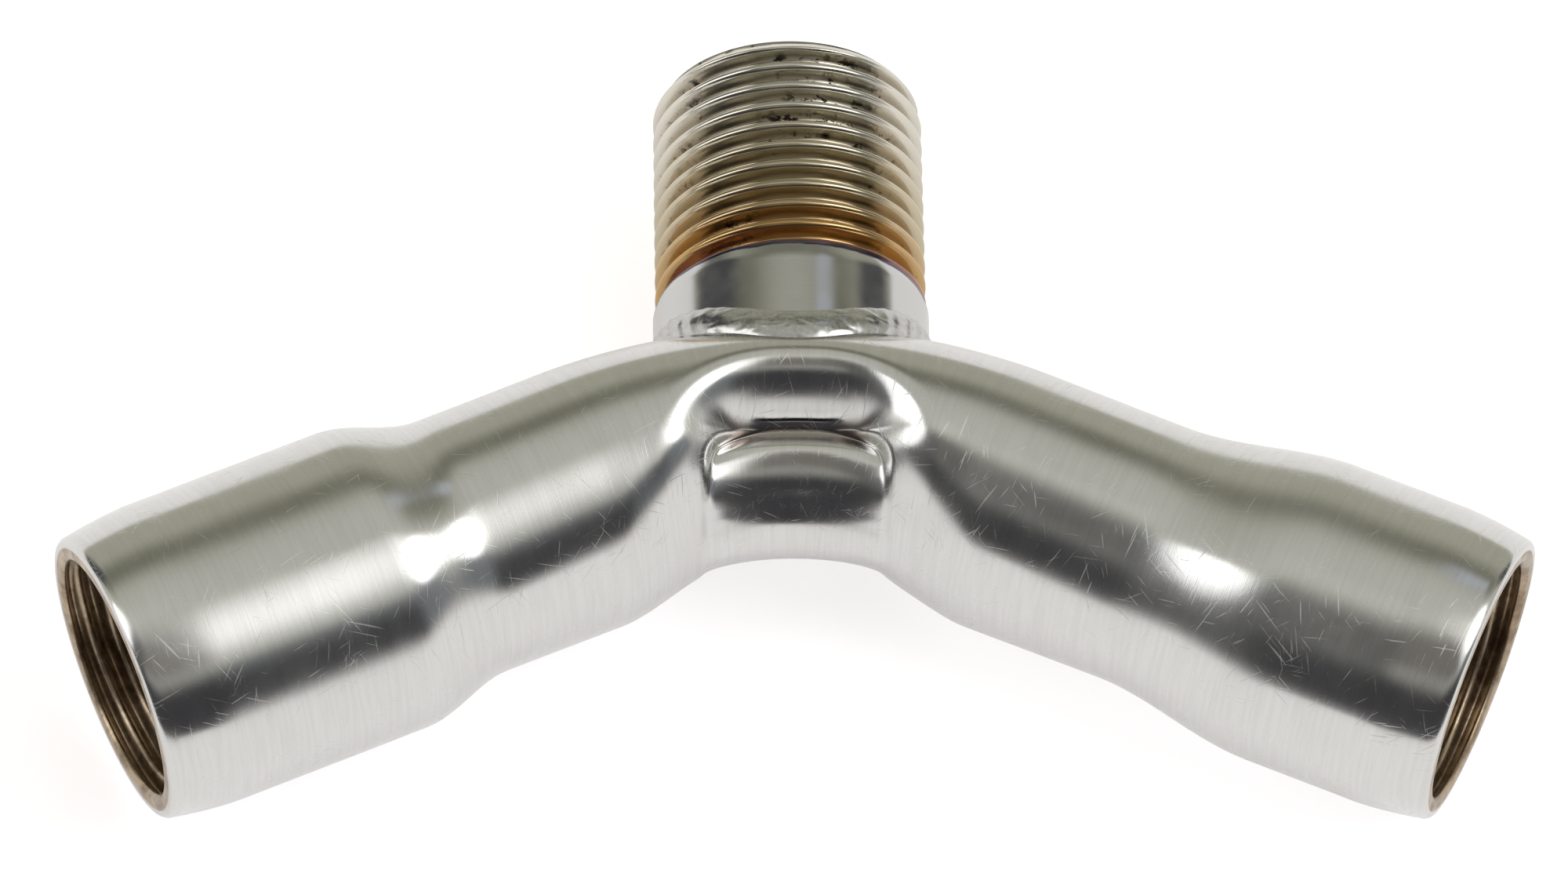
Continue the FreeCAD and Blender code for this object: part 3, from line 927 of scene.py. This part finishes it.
# %% Nipple steel
HEAT_TINTS = (
    # where it begins and where it is full (mm from the meeting point), colour
    (9.5, 9.65, (0.11, 0.11, 0.17, 1.0)),
    (9.75, 9.95, (0.30, 0.15, 0.15, 1.0)),
    (10.0, 10.6, (0.56, 0.36, 0.16, 1.0)),
    (11.5, 16.0, (0.60, 0.52, 0.38, 1.0)),
    (16.0, 25.0, (0.74, 0.705, 0.63, 1.0)),
)
HEAT_UNEVENNESS = 0.6
# The radii between which a groove's painted shade and specks fade out, and where the grooves begin.
GROOVE_RADII = (THREAD_ROOT_RADIUS + 0.1, THREAD_CREST_RADIUS - 0.15)
GROOVES_FROM = (10.0, 11.0)
GROOVE_PAINTED_SHADE = (0.17, 0.125, 0.085, 1.0)
GROOVE_SHADE_SHARE = 0.45
SPECK_CELLS = (2.4, 0.9, 0.9)
SPECK_CREST = (0.56, 0.61)
SPECK_GROUP_CELLS = 0.16
SPECK_GROUP_EDGE = (0.45, 0.55)
SPECK_BLACK = (0.035, 0.03, 0.03, 1.0)
PATCH_CELLS = 0.35
NIPPLE_MARK_CELLS = (9.0, 0.4, 0.4)
NIPPLE_ROUGHNESS = (0.12, 0.2)
NIPPLE_RELIEF = 0.0025 * MM


def in_the_grooves(finish, place):
    """Share of the grooves of the male thread."""
    groove = finish.ramp(from_the_axis(finish, place), *GROOVE_RADII, 1.0, 0.0)
    return finish.math("MULTIPLY", groove, finish.ramp(finish.parts(place)[0], *GROOVES_FROM))


def in_the_specks(finish, place):
    """Share of the black specks, which stand in loose groups."""
    specks = finish.noise(finish.stretch(place, SPECK_CELLS), roughness=0.7)
    groups = finish.noise(place, SPECK_GROUP_CELLS, detail=1.0)
    return finish.math("MULTIPLY", finish.ramp(specks, *SPECK_CREST),
                       finish.ramp(groups, *SPECK_GROUP_EDGE))


def nipple_steel():
    """Finish of the nipple, tinted by the heat of the weld below its thread."""
    material = bpy.data.materials.new("nipple_steel")
    finish = Finish(material)
    place = finish.straight()
    marks = finish.noise(finish.stretch(place, NIPPLE_MARK_CELLS), roughness=0.6)
    patches = finish.noise(place, PATCH_CELLS, roughness=0.6)
    uneven = finish.math("MULTIPLY", patches, HEAT_UNEVENNESS)
    heat = finish.math("ADD", finish.parts(place)[0], uneven)
    colour = grey(0.62, 0.01)
    for begins, full, tint in HEAT_TINTS:
        colour = finish.blend(finish.ramp(heat, begins, full), colour, tint)
    groove = in_the_grooves(finish, place)
    specks = finish.math("MULTIPLY", groove, in_the_specks(finish, place))
    # painted shade in the grooves of the thread
    colour = finish.blend(finish.math("MULTIPLY", groove, GROOVE_SHADE_SHARE), colour, GROOVE_PAINTED_SHADE)
    colour = finish.blend(specks, colour, SPECK_BLACK)
    roughness = finish.ramp(patches, 0.3, 0.7, *NIPPLE_ROUGHNESS)
    finish.steel(colour, roughness, marks, NIPPLE_RELIEF)
    return material


dress(nipple, nipple_steel())

# %% [markdown]
# ## The weld's finish
#
# The weld is a darker grey than the polished steel round it, and has fine pits.
# The grinder left it about as glossy, but its ripples break up what it reflects.
# The large ripples are in the mesh, and a drawn out noise adds the small ones.

# %% Weld steel
PIT_CELLS = 3.0
WELD_WAVE_CELLS = (0.9, 0.45, 0.45)
WELD_WAVES = 38.0
WELD_GREYS = (grey(0.50, 0.02), grey(0.60, 0.01))
WELD_ROUGHNESS = (0.16, 0.26)
WELD_RELIEF = 0.004 * MM


def weld_steel():
    """Finish of the weld: darker, with fine pits and small ripples."""
    material = bpy.data.materials.new("weld_steel")
    finish = Finish(material)
    place = finish.straight()
    pits = finish.noise(place, PIT_CELLS, detail=4.0, roughness=0.6)
    waves = finish.noise(finish.stretch(place, WELD_WAVE_CELLS),
                         detail=1.0, roughness=0.5, distortion=0.6)
    colour = finish.blend(finish.ramp(pits, 0.35, 0.65), *WELD_GREYS)
    relief = finish.math("ADD", finish.math("MULTIPLY", waves, WELD_WAVES), pits)
    finish.steel(colour, finish.ramp(pits, 0.3, 0.7, *WELD_ROUGHNESS), relief, WELD_RELIEF)
    return material


dress(bead, weld_steel())

# %% [markdown]
# ## The table
#
# Polished metal shows its surroundings, so they are half of the finish. The
# fitting lies on a white table. More lamp light on the table would make it white,
# but the metal too bright, so the table is lifted a little only where the camera
# or a reflection sees it, as a lit paper sweep is. It keeps a faint shadow.

# %% Table
TABLE_HALF = 1.5
PAPER = (0.93, 0.925, 0.93, 1.0)
PAPER_GLOW = (1.0, 0.975, 0.985, 1.0)
LIFT_FOR_CAMERA = 0.66
LIFT_IN_REFLECTIONS = 0.38


def table_white():
    """White paper that takes a shadow and glows a little to the eye."""
    material = bpy.data.materials.new("table_white")
    finish = Finish(material)
    paper = finish.node("BsdfPrincipled", {"Base Color": PAPER, "Roughness": 0.9})
    rays = finish.node("LightPath").outputs
    seen = finish.math("ADD", finish.math("MULTIPLY", rays["Is Camera Ray"], LIFT_FOR_CAMERA),
                       finish.math("MULTIPLY", rays["Is Glossy Ray"], LIFT_IN_REFLECTIONS))
    lift = finish.node("Emission", {"Color": PAPER_GLOW, "Strength": seen})
    total = finish.node("AddShader", {0: paper.outputs[0], 1: lift.outputs[0]})
    finish.node("OutputMaterial", {"Surface": total.outputs[0]})
    return material


table_mesh = bpy.data.meshes.new("table")
table_corners = [(TABLE_HALF * x, TABLE_HALF * y, 0.0)
                 for x, y in ((-1, -1), (1, -1), (1, 1), (-1, 1))]
table_mesh.from_pydata(table_corners, [], [(0, 1, 2, 3)])
table = bpy.data.objects.new("table", table_mesh)
bpy.context.scene.collection.objects.link(table)
dress(table, table_white())

# %% [markdown]
# ## The room
#
# The room above the table is a soft greenish grey with screens in it, as a studio
# sets them up round shiny ware. A screen is a patch of directions. Its bearing is
# zero in front and 90 degrees to the right, its height is zero at the table and 90
# degrees overhead, and each of its sides fades over a soft edge. Later screens
# hide earlier ones. The collar, with its top to the eye, shows the screens behind,
# the legs show the sides, and the fold and the pad show the dark ones in front.

# %% Screens
SCREENS = (
    # bearings, soft edge, heights, soft edge, colour
    # the far table all round, and the wall behind with a darker band
    ((-190, 190), 1, (-90, 4), 8, (0.92, 0.88, 0.87)),
    ((115, 245), 14, (-20, 56), 18, (0.42, 0.42, 0.34)),
    ((120, 240), 14, (30, 50), 9, (0.20, 0.20, 0.155)),
    # upright dark edges and one pale strip, which the collar shows
    ((116, 133), 4, (2, 28), 6, (0.08, 0.08, 0.085)),
    ((-140, -116), 4, (2, 36), 6, (0.075, 0.075, 0.08)),
    ((139, 154), 4, (42, 55), 4, (0.50, 0.53, 0.56)),
    # high screens: a dark one in front, a pale one at the left, a bright one right
    ((-36, 36), 8, (46, 78), 8, (0.20, 0.19, 0.17)),
    ((-140, -60), 12, (74, 88), 5, (0.60, 0.60, 0.55)),
    ((38, 98), 13, (48, 76), 10, (1.34, 1.34, 1.29)),
    # dark ones: low at the left and right, a tall one at the left, two in front
    ((-78, -30), 5, (6, 38), 7, (0.13, 0.135, 0.135)),
    ((30, 80), 5, (6, 39), 6, (0.19, 0.20, 0.21)),
    ((-72, -28), 7, (6, 72), 12, (0.12, 0.12, 0.115)),
    ((-47, 47), 6, (5, 33), 9, (0.06, 0.06, 0.06)),
    ((-33, 33), 5, (-30, 40), 12, (0.05, 0.048, 0.052)),
)
WALLS = (0.54, 0.545, 0.49)


def screen(finish, bearing, height, bearings, side_edge, heights, level_edge):
    """Share of a screen in a direction."""
    middle, half = sum(bearings) / 2, (bearings[1] - bearings[0]) / 2
    turned = finish.math("SUBTRACT", bearing, middle)
    away = finish.math("ABSOLUTE", finish.node(
        "Math", {0: turned, 1: 180.0, 2: -180.0}, operation="WRAP").outputs[0])
    beside = finish.ramp(away, half - side_edge, half + side_edge, 1.0, 0.0)
    above = finish.ramp(height, heights[0] - level_edge, heights[0] + level_edge)
    below = finish.ramp(height, heights[1] - level_edge, heights[1] + level_edge, 1.0, 0.0)
    return finish.math("MULTIPLY", beside, finish.math("MULTIPLY", above, below))


# %% [markdown]
# The world's own direction is turned into a bearing and a height, and the screens
# are blended over the walls one by one.

# %% Room
DEGREES_PER_RADIAN = 180.0 / math.pi


def room():
    """World with grey walls and the screens."""
    world = bpy.data.worlds.new("room")
    finish = Finish(world)
    way = finish.parts(finish.node("TexCoord").outputs["Generated"])
    to_the_front = finish.math("MULTIPLY", way[1], -1.0)
    bearing = finish.math("MULTIPLY", finish.math("ARCTAN2", way[0], to_the_front), DEGREES_PER_RADIAN)
    height = finish.math("MULTIPLY", finish.math("ARCSINE", way[2]), DEGREES_PER_RADIAN)
    colour = WALLS + (1.0,)
    for bearings, side_edge, heights, level_edge, tint in SCREENS:
        share = screen(finish, bearing, height, bearings, side_edge, heights, level_edge)
        colour = finish.blend(share, colour, tint + (1.0,))
    glow = finish.node("Background", {"Color": colour, "Strength": 1.0})
    finish.node("OutputWorld", {"Surface": glow.outputs[0]})
    print("room:", len(SCREENS), "screens,", len(finish.tree.nodes), "nodes")
    return world


bpy.context.scene.world = room()

# %% [markdown]
# ## Lamps
#
# One soft lamp stands at the right, half way up, and gives the left swage its
# white patch. An upright oval one at the left, a little lower, does the same for
# the right swage. A swage widens outwards, so its skin faces the middle a little,
# and shows the lamp that stands across from it. Both lamps are rounded, so that
# their reflections have no corners.

# %% Lamps
LAMP_DISTANCE = 0.9


def soft_lamp(name, bearing, height, size, strength, turn=0.0):
    """Oval soft lamp that looks at the fitting, from a bearing and a height."""
    bearing, height = math.radians(bearing), math.radians(height)
    way = Vector((math.sin(bearing) * math.cos(height), -math.cos(bearing) * math.cos(height),
                  math.sin(height)))
    light = bpy.data.lights.new(name, "AREA")
    light.shape = "ELLIPSE"
    light.size, light.size_y = size
    light.energy = strength * math.pi * size[0] * size[1]
    lamp = bpy.data.objects.new(name, light)
    lamp.location = way * LAMP_DISTANCE
    lamp.rotation_euler = (way.to_track_quat("Z", "Y").to_matrix() @ Matrix.Rotation(
        math.radians(turn), 3, "Z")).to_euler()
    bpy.context.scene.collection.objects.link(lamp)
    print(f"{name}: {light.energy:.2f} W")


soft_lamp("right_soft_lamp", 79, 47, (0.54, 0.5), 1.6, -20)
soft_lamp("left_soft_lamp", -80, 36, (0.44, 0.85), 1.15)

# %% [markdown]
# ## The camera
#
# The picture is taken from the front, from more than half way up, with a long
# lens and slightly turned. The camera stands on a line from the fitting at that
# bearing and height, and its lens follows from the scale of the picture.

# %% Camera
VIEW_HEIGHT = math.radians(57.6)
VIEW_BEARING = math.radians(-3.55)
VIEW_ROLL = math.radians(3.1)
VIEW_DISTANCE = 900.0
PIXELS_PER_MM = 16.63
PHOTO_WIDTH = 2000
SENSOR_WIDTH = 36.0
LOOKED_AT = Vector((-0.71, -2.06, 0.0))

behind = Vector((math.sin(VIEW_BEARING) * math.cos(VIEW_HEIGHT),
                 -math.cos(VIEW_BEARING) * math.cos(VIEW_HEIGHT), math.sin(VIEW_HEIGHT)))
level_right = Vector((math.cos(VIEW_BEARING), math.sin(VIEW_BEARING), 0.0))
level_up = behind.cross(level_right)
right = math.cos(VIEW_ROLL) * level_right + math.sin(VIEW_ROLL) * level_up
up = math.cos(VIEW_ROLL) * level_up - math.sin(VIEW_ROLL) * level_right
camera_data = bpy.data.cameras.new("camera")
camera_data.sensor_width = SENSOR_WIDTH
camera_data.lens = SENSOR_WIDTH * PIXELS_PER_MM * VIEW_DISTANCE / PHOTO_WIDTH
camera_data.clip_start = 0.01
camera_data.clip_end = 20.0
camera = bpy.data.objects.new("camera", camera_data)
stand = MEETING_POINT + (LOOKED_AT + behind * VIEW_DISTANCE) * MM
camera.matrix_world = Matrix.Translation(stand) @ Matrix((right, up, behind)).transposed().to_4x4()
bpy.context.scene.collection.objects.link(camera)
bpy.context.scene.camera = camera
bpy.context.scene.view_settings.view_transform = "Standard"
print(f"lens {camera_data.lens:.0f} mm")
